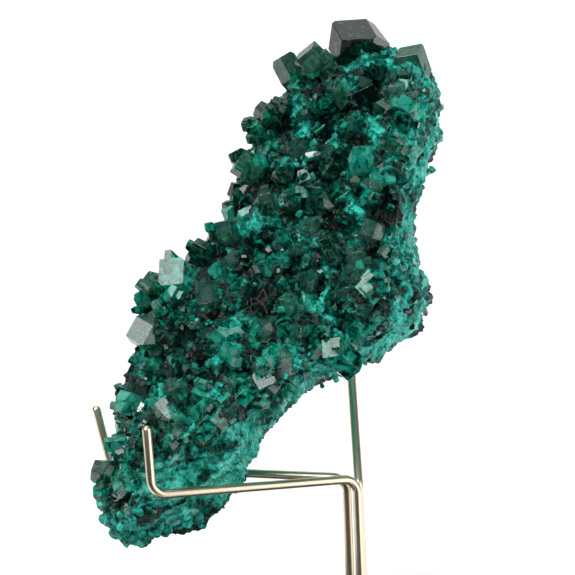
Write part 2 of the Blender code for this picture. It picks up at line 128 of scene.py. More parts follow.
# The crystals that a viewer picks out, in millimetres: x, z and prism radius, then which way the
# long axis leans to the right and upwards for each unit towards the viewer
MAIN_CRYSTALS = (
    (13.2, 134.9, 6.0, -0.40, 0.12),
    (6.6, 132.4, 4.0, -0.1, 0.6),
    (0.2, 130.2, 3.6, -0.5, 0.5),
    (29.6, 130.6, 5.0, 0.25, 0.35),
    (33.4, 126.0, 2.6, 0.9, 0.2),
    (20.1, 126.0, 5.4, 0.25, 0.9),
    (27.9, 117.9, 3.0, 0.7, 0.3),
    (10.6, 117.5, 3.9, 0.1, 0.9),
    (7.7, 122.3, 2.7, -0.4, 0.6),
    (2.2, 123.6, 2.2, -0.6, 0.7),
    (-0.4, 117.0, 2.5, -0.5, 0.6),
    (5.5, 127.2, 3.0, -0.2, 0.8),
    (13.9, 129.4, 2.0, 0.0, 0.8),
    (21.3, 128.6, 2.4, 0.2, 0.4),
    (17.6, 126.3, 1.8, -0.3, 0.8),
    (26.8, 125.6, 2.0, 0.4, 0.8),
    (-5.1, 119.7, 2.4, -1.2, 0.5),
    (-1.1, 121.0, 2.2, -0.6, 0.2),
    (-5.5, 108.2, 3.3, -0.5, 1.0),
    (-5.1, 100.3, 3.0, -0.2, 0.7),
    (-9.2, 102.3, 2.5, -0.9, 0.8),
    (18.5, 111.3, 3.5, 0.3, 0.7),
    (19.4, 102.5, 2.9, 0.3, 0.3),
    (20.5, 95.5, 2.9, 0.4, 0.6),
    (6.6, 95.7, 2.7, 0.0, 0.3),
    (-0.7, 114.0, 2.1, -0.3, 0.7),
    (-7.7, 115.7, 2.4, -1.5, 0.2),
    (0.7, 106.3, 2.5, -0.2, 0.2),
    (5.9, 106.9, 2.1, 0.0, 1.1),
    (12.3, 102.1, 2.5, 0.2, 0.5),
    (7.3, 100.3, 2.3, -0.2, 0.6),
    (25.1, 113.1, 2.3, 0.5, 0.6),
    (-9.7, 96.8, 2.7, -0.9, 0.5),
    (3.7, 90.6, 2.0, -0.3, 0.3),
    (1.3, 94.0, 2.0, 0.1, 0.8),
    (16.9, 89.3, 2.7, 0.3, 0.5),
    (-5.1, 82.1, 4.3, -0.2, 0.8),
    (1.1, 83.8, 2.0, 0.2, 1.1),
    (2.2, 79.0, 2.7, 0.2, 0.2),
    (-26.0, 87.4, 4.5, -0.9, 1.0),
    (-15.4, 83.2, 3.9, -0.1, 0.9),
    (-21.6, 82.6, 2.8, -0.2, 0.5),
    (-33.2, 71.3, 4.3, -1.4, 0.1),
    (-33.0, 62.5, 3.0, -1.2, -0.3),
    (-35.6, 58.0, 2.4, -1.2, 0.6),
    (-35.6, 53.2, 3.6, -0.9, 0.1),
    (-30.0, 55.8, 2.9, -0.2, 0.4),
    (-12.1, 88.4, 3.1, -0.5, 0.9),
    (-15.6, 73.5, 2.3, -0.1, 1.0),
    (-11.2, 74.7, 2.0, 0.1, 0.6),
    (-9.7, 69.4, 2.8, 0.1, 0.3),
    (-32.3, 78.6, 2.5, -1.3, 0.3),
    (-29.7, 83.0, 2.5, -0.9, 0.3),
    (15.4, 72.6, 2.0, 0.0, 0.5),
    (6.6, 86.4, 2.4, 0.2, 1.2),
    (11.9, 80.7, 2.6, 0.2, 0.5),
    (4.4, 73.7, 2.0, 0.0, 0.4),
    (21.6, 83.6, 2.1, 0.4, 0.6),
    (-39.6, 36.6, 3.0, -1.1, -0.3),
    (-40.2, 41.6, 3.0, -0.9, 0.2),
    (-32.4, 45.4, 2.5, -0.3, 0.5),
    (-36.4, 48.2, 2.6, -0.8, 0.4),
    (-26.4, 51.0, 2.3, 0.1, 0.5),
    (-26.4, 78.5, 2.7, -0.4, 0.6),
    (-25.3, 72.0, 2.9, -0.2, 0.3),
    (-20.9, 68.4, 2.7, 0.1, 0.7),
    (-27.5, 65.1, 2.9, -0.3, 0.2),
    (-21.0, 60.8, 2.5, 0.2, 0.4),
    (-18.6, 77.6, 2.4, -0.2, 0.2),
    (-7.4, 92.6, 2.4, -0.5, 0.7),
    (11.6, 92.0, 2.4, 0.2, 0.7),
    (13.8, 97.2, 2.1, 0.1, 0.2),
    (1.8, 101.4, 2.2, -0.1, 0.4),
    (11.0, 108.0, 2.7, 0.1, 0.4),
    (4.4, 112.0, 2.6, -0.2, 0.5),
    (15.4, 117.4, 2.3, 0.2, 0.7),
    (25.3, 106.8, 2.1, 0.6, 0.4),
    (-14.3, 95.4, 2.9, -1.0, 0.8),
    (-10.6, 110.4, 2.3, -1.3, 0.6),
    (-18.9, 91.4, 2.7, -0.8, 0.9),
)
EDGE_CRYSTALS_FORWARD = 10 * MM
FACE_CRYSTALS_PROUDER = 0.55
ROOM_ROUND_MAIN = 0.75
WIRE_ROOM = 0.6 * MM
MAIN_RISE = (0.85, 1.2)
DARK_TONE = -0.3
BRIGHT_TONE = 1.0

# The rock's open seats for the wires: their gap, how deep they may go, and the step that finds their depth
SEAT_GAP = 0.45 * MM
SEAT_REACH = 4.0 * MM
SEAT_STEP = 0.1 * MM

# Patches of turquoise crust, in millimetres: x, z, width and the largest lump
CRUST_PATCHES = (
    (15.4, 125.0, 3.5, 0.8), (12.6, 123.6, 3.5, 0.8), (20.2, 128.0, 2.5, 0.7), (14.3, 130.9, 2.0, 0.7),
    (4.4, 108.0, 2.5, 0.7), (6.6, 95.7, 3.0, 0.8), (25.8, 102.5, 3.5, 0.8), (25.0, 90.4, 3.5, 0.8),
    (27.5, 114.0, 3.0, 0.8), (-2.6, 65.1, 5.0, 0.9), (1.5, 66.9, 4.5, 0.9), (5.4, 68.4, 4.0, 0.8),
    (13.2, 71.2, 4.0, 0.8), (-6.6, 61.3, 4.0, 0.8), (-16.5, 73.5, 3.0, 0.7), (-14.0, 60.0, 3.0, 0.7),
    (-20.0, 52.0, 3.0, 0.8), (-38.5, 33.4, 3.0, 1.4), (-36.6, 29.5, 4.0, 1.7), (-32.0, 27.5, 4.0, 1.7),
    (-26.0, 28.3, 4.0, 1.4), (-19.0, 31.0, 4.0, 1.2), (-31.0, 33.0, 3.0, 1.0),
)

# The stand: the corners of each wire in millimetres, from the bottom of its socket in the foot
# to its free tip
WIRE_RADIUS = 1.0 * MM
WIRE_BEND = 3.2 * MM
WIRE_BEND_STEPS = 10
WIRE_SIDES = 24
WIRE_ROUTES = {
    "front_arm_wire": ((18.4, -1.6, 1.85), (16.9, -1.6, 39.0), (-26.9, -18.0, 38.2), (-28.0, -18.2, 53.0)),
    "rear_arm_wire": ((16.1, 0.9, 1.85), (14.7, 0.9, 38.8), (-39.2, 18.0, 38.4), (-42.8, 18.4, 52.7)),
    "back_rest_wire": ((19.1, 1.8, 1.85), (17.5, 2.2, 37.0), (16.3, 21.5, 63.0), (15.2, 21.5, 96.0)),
}
END_FACE_SLOPE = math.radians(51)
CRYSTAL_SHAPES = 10
PLAIN_SHAPES = 4
LUMP_SHAPES = 3
SCATTER_SEED = 11
CRUST_SEED = 3

# Crystals with an end face turned so that a viewer in front sees the softbox in it: their row in the table
GLINTING = (18, 19, 20, 28, 39, 42)
KEY_DIRECTION = Vector((-0.45, -0.65, 0.65)).normalized()
KEY_STRENGTH = 2.3
KEY_WIDTH = math.radians(48)
SPARKLE_DIRECTION = Vector((0.35, -0.8, 0.5))
SPARKLE_STRENGTH = 0.15
SPARKLE_WIDTH = math.radians(7)
STRIP_PLACE = Vector((0.6, -0.35, 0.0))
STRIP_SIZE = (0.7, 1.0)
STRIP_POWER = 3.8

# Crystals whose turn shows in the photo: the way that one end face looks, in degrees from right towards up
FACE_LOOKS = {0: 68, 3: 120, 5: 255, 2: 120, 7: 75, 10: 60, 21: 95, 22: 60, 23: 200, 36: 70, 40: 95, 42: 150}
CLOUDY_AND_DARK = (0, 5, 7, 10, 36, 45)
CLEAR_AND_BRIGHT = (1, 2, 3, 4, 24, 42)

# The druse between them: how many, up to which share of the height, from and to which share of the way from
# the left edge to the ridge, smallest and largest radius in millimetres, how far the axes lean, and the
# least and most rise in radii
DRUSE = (
    (110, 0.94, -0.12, 0.25, 2.2, 4.0, 0.35, 0.35, 0.85),
    (380, 0.93, 0.08, 0.93, 2.2, 3.8, 0.5, 0.65, 1.2),
    (340, 0.99, -0.05, 0.98, 0.9, 1.9, 0.6, 0.45, 1.0),
)
DRUSE_START = 0.06

# The other scattered crystals: how many, their heights, radii, how far the axes lean, and their rise in radii
DUST = (1000, (0.01, 0.99), (0.3 * MM, 0.9 * MM), 0.9, (0.3, 1.4))
CHIPS = (150, (0.01, 0.98), (0.4 * MM, 1.0 * MM), 1.2, (-0.1, 0.3))
BEHIND = (420, (0.09, 0.98), (0.7 * MM, 2.1 * MM), 0.5, (0.3, 0.9))
DUST_TURNS = (-0.05, 1.02)
CHIPS_FROM_RIDGE = 1.01
CHIPS_TO_TURN = 0.62
BEHIND_TURNS = (0.65, 1.0)

# Smaller crystals beside a large one, in its radii, and the share of clear crystals in each piece
COMPANION_SIZES = (0.35, 0.72)
COMPANION_ASIDE = (0.5, 0.95)
COMPANION_LOWER = (0.05, 0.55)
CLEAR_SHARES = {
    "large_crystals": 0.6, "small_crystals": 0.5, "crystal_dust": 0.3, "crystals_behind": 0.4, "broken_grains": 0.0,
}


# Selecting and finishing, as by hand

def deselect_all():
    bpy.ops.object.select_all(action="DESELECT")


def select_only(objects):
    deselect_all()
    for obj in objects:
        obj.select_set(True)
    bpy.context.view_layer.objects.active = objects[0]


def join_as(objects, name):
    """The objects as one mesh, with its place in its mesh."""
    select_only(objects)
    if len(objects) > 1:
        bpy.ops.object.join()
    made = bpy.context.view_layer.objects.active
    made.name = name
    made.data.name = name
    return made


def finish_piece(obj, materials, slot, *nodes):
    """Gives a piece its material, its body and the CAD nodes that it stands for. The slot argument is not used."""
    obj.data.materials.clear()
    for mat in materials:
        obj.data.materials.append(mat)
    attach(obj, "root")
    if nodes:
        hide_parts(*nodes)


# Materials

def to_linear(hex_colour):
    shares = [int(hex_colour[i:i + 2], 16) / 255 for i in (0, 2, 4)]
    return tuple(s / 12.92 if s <= 0.04045 else ((s + 0.055) / 1.055) ** 2.4 for s in shares) + (1.0,)


def add_node(mat, kind, links=None, stops=(), **settings):
    """Adds a node, sets it and its inputs, and links the inputs that are given an output."""
    node = mat.node_tree.nodes.new(kind)
    for name, value in settings.items():
        setattr(node, name, value)
    for index, (place, colour) in enumerate(stops):
        elements = node.color_ramp.elements
        element = elements[index] if index < len(elements) else elements.new(place)
        element.position = place
        element.color = colour
    for name, value in (links or {}).items():
        if isinstance(value, bpy.types.NodeSocket):
            mat.node_tree.links.new(value, node.inputs[name])
        else:
            node.inputs[name].default_value = value
    return node


def new_material(name):
    """A material with its Principled shader, and the object coordinates that its patterns read."""
    mat = bpy.data.materials.new(name)
    mat.use_nodes = True
    shader = mat.node_tree.nodes["Principled BSDF"]
    place = add_node(mat, "ShaderNodeTexCoord").outputs["Object"]
    return mat, shader, place


def dioptase_crystal(name, transmission, density, dark, green, pale):
    """Dioptase, a clear copper silicate: glassy faces, and a green that deepens with every millimetre.

    Veils and healed cracks cloud the inside, so it goes from nearly black to pale emerald within
    a millimetre.
    """
    mat, shader, place = new_material(name)
    links = mat.node_tree.links
    tone = add_node(mat, "ShaderNodeAttribute", attribute_name="tone").outputs["Fac"]
    veils = add_node(mat, "ShaderNodeTexNoise", {
        "Vector": place, "Scale": 1 / VEIL_SIZE, "Detail": 5.0, "Roughness": 0.62, "Distortion": 0.5,
    })
    cloud = add_node(mat, "ShaderNodeMath", {0: tone, 1: 0.22, 2: veils.outputs["Fac"]},
                     operation="MULTIPLY_ADD")
    tint = add_node(mat, "ShaderNodeValToRGB", {"Fac": cloud.outputs[0]}, stops=(
        (0.51, to_linear(dark)), (0.63, to_linear(green)), (0.79, to_linear(pale)),
    ))
    flecks = add_node(mat, "ShaderNodeTexNoise", {
        "Vector": place, "Scale": 1 / FLECK_SIZE, "Detail": 3.0, "Roughness": 0.6, "Distortion": 2.0,
    })
    rust = add_node(mat, "ShaderNodeMapRange", {
        "Value": flecks.outputs["Fac"], "From Min": 0.27, "From Max": 0.25, "To Min": 0.0, "To Max": 0.8,
    })
    rusty = add_node(mat, "ShaderNodeMix", {0: rust.outputs[0], 6: tint.outputs[0], 7: to_linear("84380f")},
                     data_type="RGBA")
    links.new(rusty.outputs[2], shader.inputs["Base Color"])
    rough = add_node(mat, "ShaderNodeMapRange", {
        "Value": veils.outputs["Fac"], "From Min": 0.4, "From Max": 0.75, "To Min": 0.03, "To Max": 0.12,
    })
    links.new(rough.outputs[0], shader.inputs["Roughness"])
    bent = add_node(mat, "ShaderNodeMix", {0: 0.35 * VEIL_SIZE, 4: place, 5: veils.outputs["Color"]},
                    data_type="VECTOR", clamp_factor=False)
    cracks = add_node(mat, "ShaderNodeTexVoronoi", {"Vector": bent.outputs[1], "Scale": 1 / CRACK_SPACING},
                      feature="DISTANCE_TO_EDGE")
    healed = add_node(mat, "ShaderNodeMapRange", {
        "Value": cracks.outputs["Distance"], "From Min": 0.0, "From Max": 0.04, "To Min": 0.0, "To Max": 0.5,
    })
    bump = add_node(mat, "ShaderNodeBump", {
        "Strength": 0.12, "Distance": 0.08 * MM, "Height": healed.outputs[0],
    })
    links.new(bump.outputs[0], shader.inputs["Normal"])
    shader.inputs["Transmission Weight"].default_value = transmission
    shader.inputs["IOR"].default_value = 1.67
    depth = add_node(mat, "ShaderNodeVolumeAbsorption", {"Color": to_linear("10e8d8"), "Density": density})
    links.new(depth.outputs[0], mat.node_tree.nodes["Material Output"].inputs["Volume"])
    return mat


def rock():
    """Massive dioptase broken across: green grains, with turquoise chrysocolla in its layers and hollows."""
    mat, shader, place = new_material("dioptase_and_chrysocolla_rock")
    links = mat.node_tree.links
    hollow = add_node(mat, "ShaderNodeAttribute", attribute_name="hollow").outputs["Fac"]
    broken = add_node(mat, "ShaderNodeAttribute", attribute_name="broken").outputs["Fac"]
    along = add_node(mat, "ShaderNodeUVMap", uv_map="UVMap").outputs["UV"]

    along_body = add_node(mat, "ShaderNodeMapping", {
        "Vector": along, "Scale": (BODY_GIRTH / LAYER_WIDTH, BODY_LENGTH / LAYER_RUN, 1.0),
    })
    across_tail = add_node(mat, "ShaderNodeMapping", {
        "Vector": place, "Rotation": (0.0, -TAIL_LAYERS_RISE, 0.0),
        "Scale": (LAYER_RUN, LAYER_RUN, LAYER_WIDTH),
    }, vector_type="TEXTURE")
    tail = add_node(mat, "ShaderNodeAttribute", attribute_name="tail").outputs["Fac"]
    body_layers, tail_layers = (
        add_node(mat, "ShaderNodeTexNoise", {
            "Vector": at.outputs[0], "Scale": 1.0, "Detail": 5.0, "Roughness": 0.62, "Distortion": 0.9,
        }) for at in (along_body, across_tail)
    )
    layers = add_node(mat, "ShaderNodeMix", {
        0: tail, 2: body_layers.outputs["Fac"], 3: tail_layers.outputs["Fac"],
    })
    mottle = add_node(mat, "ShaderNodeTexNoise", {
        "Vector": place, "Scale": 1 / MOTTLE_SIZE, "Detail": 5.0, "Roughness": 0.62, "Distortion": 0.4,
    })
    grain = add_node(mat, "ShaderNodeMix", {0: 0.45, 2: layers.outputs[0], 3: mottle.outputs["Fac"]})
    patches = add_node(mat, "ShaderNodeTexNoise", {"Vector": place, "Scale": 1 / PATCH_SIZE, "Detail": 3.0})
    patchy = add_node(mat, "ShaderNodeMath", {0: patches.outputs["Fac"], 1: 0.6, 2: grain.outputs[0]},
                      operation="MULTIPLY_ADD")
    deep = add_node(mat, "ShaderNodeMath", {0: hollow, 1: 0.04, 2: patchy.outputs[0]},
                    operation="MULTIPLY_ADD")
    split = add_node(mat, "ShaderNodeValToRGB", {"Fac": deep.outputs[0]}, stops=(
        (0.68, to_linear("021a15")), (0.74, to_linear("03382f")), (0.79, to_linear("057464")),
        (0.86, to_linear("10c4b2")), (0.97, to_linear("84f0e0")),
    ))

    dust = add_node(mat, "ShaderNodeMath", {0: mottle.outputs["Fac"], 1: 0.6, 2: patches.outputs["Fac"]},
                    operation="MULTIPLY_ADD")
    crust = add_node(mat, "ShaderNodeValToRGB", {"Fac": dust.outputs[0]}, stops=(
        (0.73, to_linear("021a15")), (0.83, to_linear("035848")), (0.92, to_linear("0aae9c")),
        (1.02, to_linear("3fe6d0")),
    ))
    stone = add_node(mat, "ShaderNodeMix", {0: broken, 6: crust.outputs[0], 7: split.outputs[0]},
                     data_type="RGBA")

    veins_at = add_node(mat, "ShaderNodeMapping", {"Vector": along_body.outputs[0], "Scale": (0.4, 0.4, 0.4)})
    hairlines = add_node(mat, "ShaderNodeTexNoise", {
        "Vector": veins_at.outputs[0], "Scale": 1.0, "Detail": 3.0, "Roughness": 0.4,
    })
    on_hairline = add_node(mat, "ShaderNodeMath", {0: hairlines.outputs["Fac"], 1: 0.5, 2: 0.007},
                           operation="COMPARE")
    hairline = add_node(mat, "ShaderNodeMath", {0: on_hairline.outputs[0], 1: 0.6},
                        operation="MULTIPLY")
    to_vein = add_node(mat, "ShaderNodeAttribute", attribute_name="to_vein").outputs["Fac"]
    ragged = add_node(mat, "ShaderNodeMath", {0: mottle.outputs["Fac"], 1: 5 * VEIN_WIDTH, 2: to_vein},
                      operation="MULTIPLY_ADD")
    vein = add_node(mat, "ShaderNodeMapRange", {
        "Value": ragged.outputs[0], "From Min": 3.4 * VEIN_WIDTH, "From Max": 2.4 * VEIN_WIDTH,
        "To Min": 0.0, "To Max": 0.75,
    })
    patchwise = add_node(mat, "ShaderNodeMapRange", {
        "Value": patches.outputs["Fac"], "From Min": 0.4, "From Max": 0.55,
    })
    here = add_node(mat, "ShaderNodeMath", {0: hairline.outputs[0], 1: patchwise.outputs[0]},
                    operation="MULTIPLY")
    either = add_node(mat, "ShaderNodeMath", {0: here.outputs[0], 1: vein.outputs[0]}, operation="MAXIMUM")
    on_break = add_node(mat, "ShaderNodeMath", {0: either.outputs[0], 1: broken}, operation="MULTIPLY")
    veined = add_node(mat, "ShaderNodeMix", {
        0: on_break.outputs[0], 6: stone.outputs[2], 7: to_linear("8cf0dc"),
    }, data_type="RGBA")

    specks = add_node(mat, "ShaderNodeTexNoise", {"Vector": place, "Scale": 1 / SPECK_SIZE, "Detail": 3.0})
    rusty = add_node(mat, "ShaderNodeMapRange", {
        "Value": specks.outputs["Fac"], "From Min": 0.70, "From Max": 0.73, "To Min": 0.0, "To Max": 0.9,
    })
    colour = add_node(mat, "ShaderNodeMix", {
        0: rusty.outputs[0], 6: veined.outputs[2], 7: to_linear("5c2008"),
    }, data_type="RGBA")
    links.new(colour.outputs[2], shader.inputs["Base Color"])
    rough = add_node(mat, "ShaderNodeMapRange", {
        "Value": grain.outputs[0], "From Min": 0.4, "From Max": 0.6, "To Min": 0.25, "To Max": 0.65,
    })
    links.new(rough.outputs[0], shader.inputs["Roughness"])
    height = add_node(mat, "ShaderNodeMath", {0: layers.outputs[0], 1: mottle.outputs["Fac"]},
                      operation="ADD")
    bump = add_node(mat, "ShaderNodeBump", {
        "Strength": 0.6, "Distance": 0.6 * MM, "Height": height.outputs[0],
    })
    links.new(bump.outputs[0], shader.inputs["Normal"])
    return mat


def chrysocolla():
    """Chrysocolla, a copper gel that hardened in rounded crusts: bright turquoise, waxy and blotched."""
    mat, shader, place = new_material("chrysocolla_crust")
    links = mat.node_tree.links
    blotches = add_node(mat, "ShaderNodeTexNoise", {
        "Vector": place, "Scale": 1 / CRUST_GRAIN, "Detail": 5.0, "Roughness": 0.65, "Distortion": 0.6,
    })
    tint = add_node(mat, "ShaderNodeValToRGB", {"Fac": blotches.outputs["Fac"]}, stops=(
        (0.38, to_linear("013c36")), (0.50, to_linear("058f80")), (0.60, to_linear("12d0c0")),
        (0.72, to_linear("8cf2e2")),
    ))
    links.new(tint.outputs["Color"], shader.inputs["Base Color"])
    bump = add_node(mat, "ShaderNodeBump", {
        "Strength": 0.7, "Distance": 0.3 * MM, "Height": blotches.outputs["Fac"],
    })
    links.new(bump.outputs[0], shader.inputs["Normal"])
    shader.inputs["Roughness"].default_value = 0.45
    return mat


def nickel_brass():
    """Drawn nickel brass wire: pale warm metal, satin in some places and brighter in others."""
    mat, shader, place = new_material("drawn_nickel_brass")
    links = mat.node_tree.links
    satin = add_node(mat, "ShaderNodeTexNoise", {"Vector": place, "Scale": 1500.0, "Detail": 2.0})
    rough = add_node(mat, "ShaderNodeMapRange", {
        "Value": satin.outputs["Fac"], "To Min": 0.24, "To Max": 0.4,
    })
    links.new(rough.outputs[0], shader.inputs["Roughness"])
    shader.inputs["Base Color"].default_value = to_linear("f0e2c8")
    shader.inputs["Metallic"].default_value = 1.0
    return mat


def black_enamel():
    """Stoved black enamel on steel: dark, satin, with a faint orange peel."""
    mat, shader, place = new_material("satin_black_enamel")
    links = mat.node_tree.links
    peel = add_node(mat, "ShaderNodeTexNoise", {"Vector": place, "Scale": 900.0, "Detail": 1.0})
    bump = add_node(mat, "ShaderNodeBump", {
        "Strength": 0.1, "Distance": 0.1 * MM, "Height": peel.outputs["Fac"],
    })
    links.new(bump.outputs[0], shader.inputs["Normal"])
    shader.inputs["Base Color"].default_value = to_linear("1c1c1e")
    shader.inputs["Roughness"].default_value = 0.4
    return mat


# The body of the specimen

def section_at(height):
    """The section a share of the way up the body, from 0 to 1, on a smooth curve through the table."""
    place = height * (len(SECTIONS) - 1)
    index = min(int(place), len(SECTIONS) - 2)
    t = place - index
    rows = [SECTIONS[min(max(index + step, 0), len(SECTIONS) - 1)] for step in (-1, 0, 1, 2)]
    values = []
    for a, b, c, d in zip(*rows):
        bend = (2 * a - 5 * b + 4 * c - d) * t * t + (3 * b - a - 3 * c + d) * t ** 3
        values.append(0.5 * (2 * b + (c - a) * t + bend))
    return values


def front_depth(across, ridge):
    """The crystal face swells up to the ridge, and the broken side slopes back from there."""
    if across < ridge:
        return math.sin(0.5 * math.pi * across / ridge) ** 0.6
    past = (across - ridge) / (1 - ridge)
    return (1 - 0.42 * past) * math.sqrt(max(0.0, 1 - past ** 7))


def back_depth(across):
    return max(0.0, math.sin(math.pi * across)) ** 0.42


def body_point(height, turn):
    """A point on the smooth body. turn runs from 0 at the left edge over the front, to 1."""
    left_x, left_z, right_x, right_z, front, back, ridge = section_at(height)
    across = 0.5 - 0.5 * math.cos(2 * math.pi * turn)
    if turn < 0.5:
        depth = -front * front_depth(across, ridge)
    else:
        depth = back * back_depth(across)
    x = left_x + (right_x - left_x) * across
    z = left_z + (right_z - left_z) * across
    return Vector((x, depth, z)) * MM


def body_normal(height, turn):
    """Which way the smooth body faces at a point."""
    up = body_point(min(height + NORMAL_STEP, 1.0), turn) - body_point(max(height - NORMAL_STEP, 0.0), turn)
    sideways = body_point(height, (turn + NORMAL_STEP) % 1.0) - body_point(height, (turn - NORMAL_STEP) % 1.0)
    return sideways.cross(up).normalized()


def rock_relief(point):
    """How far the broken rock stands out at a point: lumps, blocks and ledges that run down to the left."""
    lumps = noise.fractal(point / LUMP_SIZE, 1.0, 2.0, 3)
    to_first, to_second = noise.voronoi(point / BLOCK_SIZE)[0][:2]
    blocks = min(1.0, (to_second - to_first) / 0.4)
    across_ledges = (point.z - 0.55 * point.x + 0.4 * point.y) / LEDGE_SPACING
    wander = noise.noise(point / (2 * LUMP_SIZE)) * 1.5
    ledges = abs(math.sin(math.pi * (across_ledges + wander)))
    return LUMP_HEIGHT * lumps + BLOCK_HEIGHT * (blocks - 0.6) + LEDGE_HEIGHT * (ledges - 0.6)


def flat_grains(point, size, tilt, step):
    """Grains of one size, each a small flat face, tilted its own way and a step up or down."""
    middle = noise.voronoi(point / size)[1][0] * size
    lean = noise.cell_vector(middle * 7919.0) - Vector((0.5, 0.5, 0.5))
    return (point - middle).dot(lean) * tilt + (noise.cell(middle * 6101.0) - 0.5) * step


def layered(point):
    """How far along and across the tail's layers a point is: they run across it, rising to the right."""
    along = point.x * math.cos(TAIL_LAYERS_RISE) + point.z * math.sin(TAIL_LAYERS_RISE)
    across = point.z * math.cos(TAIL_LAYERS_RISE) - point.x * math.sin(TAIL_LAYERS_RISE)
    return along, across


def in_tail(height, across):
    """From 0 to 1, how far the layers follow the tail's own direction and not the length of the body."""
    low = min(1.0, max(0.0, (TAIL_TOP - height) / TAIL_TOP_FADE))
    return low * min(1.0, max(0.0, (TAIL_EDGE - across) / TAIL_EDGE_FADE))


def distance_to_veins(point):
    """How far a point on the front is from the nearest vein, seen from the front."""
    flat = Vector((point.x, point.z)) / MM
    nearest = 1000.0
    for vein in VEINS:
        for a, b in zip(vein, vein[1:]):
            start, run = Vector(a), Vector(b) - Vector(a)
            share = min(1.0, max(0.0, (flat - start).dot(run) / run.length_squared))
            nearest = min(nearest, (start + run * share - flat).length)
    return nearest * MM


def grain_relief(point, across, along, broken, tail):
    """Blocky grains on the crystal face, and on the broken side splinters that run along the layers."""
    blocky = flat_grains(point, GRAIN_SIZE, GRAIN_TILT, GRAIN_STEP)
    if tail > 0.5:
        run, width = layered(point)
        on_layers = Vector((width, run * LAYER_WIDTH / LAYER_RUN, 0.3 * MM))
    else:
        on_layers = Vector((across * BODY_GIRTH, along * BODY_LENGTH * LAYER_WIDTH / LAYER_RUN, 0.3 * MM))
    splinters = flat_grains(on_layers, LAYER_WIDTH, SPLINTER_TILT, SPLINTER_STEP)
    crumbs = flat_grains(point, CRUMB_SIZE, GRAIN_TILT, CRUMB_STEP)
    return blocky * (1 - 0.6 * broken) + splinters * broken + crumbs


def distance_to_wires(point):
    """How far a point is from the nearest wire's middle line."""
    nearest = 1.0
    for route in WIRE_ROUTES.values():
        for a, b in zip(route, route[1:]):
            start, run = Vector(a) * MM, (Vector(b) - Vector(a)) * MM
            share = min(1.0, max(0.0, (point - start).dot(run) / run.length_squared))
            nearest = min(nearest, (start + run * share - point).length)
    return nearest


def seat_depth(point, inwards):
    """How far a point on the rock moves in so that a wire lies outside it, in an open seat."""
    clear = WIRE_RADIUS + SEAT_GAP
    if distance_to_wires(point) > SEAT_REACH + clear:
        return 0.0
    depth = 0.0
    for step in range(int(SEAT_REACH / SEAT_STEP) + 1):
        if distance_to_wires(point + inwards * step * SEAT_STEP) < clear:
            depth = (step + 1) * SEAT_STEP
    return depth


def make_matrix():
    """A ball whose rings become the body's sections, then the rock's relief and its broken grains."""
    deselect_all()
    bpy.ops.mesh.primitive_uv_sphere_add(segments=POINTS_AROUND, ring_count=RINGS, radius=1.0)
    obj = bpy.context.object
    mesh = obj.data
    count = len(mesh.vertices)
    places = np.empty(count * 3)
    mesh.vertices.foreach_get("co", places)
    places = places.reshape(-1, 3)
    rings = np.rint((0.5 + np.arcsin(np.clip(places[:, 2], -1, 1)) / np.pi) * RINGS).astype(int)
    turns = (np.arctan2(places[:, 1], places[:, 0]) / (2 * np.pi)) % 1.0
    broken = np.zeros(count)
    tail = np.zeros(count)
    to_vein = np.full(count, 1000.0)
    ends = []
    for height, reach in ((0.0, TAIL_REACH), (1.0, TOP_REACH)):
        rim = [body_point(height, k / POINTS_AROUND) for k in range(POINTS_AROUND)]
        ends.append((sum(rim, Vector()) / POINTS_AROUND, reach))
    for i in range(count):
        ring = int(rings[i])
        height = min(max((ring - CAP_RINGS) / (RINGS - 2 * CAP_RINGS), 0.0), 1.0)
        point = body_point(height, turns[i])
        past = max(CAP_RINGS - ring, ring - (RINGS - CAP_RINGS), 0) / CAP_RINGS
        middle, reach = ends[0 if ring < CAP_RINGS else 1]
        if past > 0:
            bend = 0.5 * math.pi * past
            point = middle + (point - middle) * math.cos(bend) + reach * math.sin(bend)
        places[i] = point
        ridge = section_at(height)[6]
        across = 0.5 - 0.5 * math.cos(2 * math.pi * turns[i])
        broken[i] = 1.0 if turns[i] > 0.5 else min(1.0, max(0.0, (across - ridge + 0.04) / 0.08))
        tail[i] = in_tail(height, across)
        if turns[i] < 0.53:
            to_vein[i] = distance_to_veins(point)
    mesh.vertices.foreach_set("co", places.ravel())
    mesh.update()
    bpy.ops.object.mode_set(mode="EDIT")
    bpy.ops.mesh.select_all(action="SELECT")
    bpy.ops.mesh.normals_make_consistent(inside=False)
    bpy.ops.object.mode_set(mode="OBJECT")
    normals = np.array([v.normal for v in mesh.vertices])
    hollow = np.zeros(count)
    for i in range(count):
        point = Vector(places[i])
        fine = grain_relief(point, turns[i], rings[i] / RINGS, broken[i], tail[i])
        hollow[i] = -fine / MM
        past = max(CAP_RINGS - rings[i], rings[i] - (RINGS - CAP_RINGS), 0) / CAP_RINGS
        places[i] += normals[i] * (rock_relief(point) + fine) * (1 - past ** 3)
        places[i] -= normals[i] * seat_depth(Vector(places[i]), Vector(-normals[i]))
    mesh.vertices.foreach_set("co", places.ravel())
    for name, values in (("broken", broken), ("hollow", hollow), ("tail", tail), ("to_vein", to_vein)):
        attribute = mesh.attributes.new(name, "FLOAT", "POINT")
        attribute.data.foreach_set("value", values)
    mesh.update()
    obj.name = "rock_matrix"
    return obj


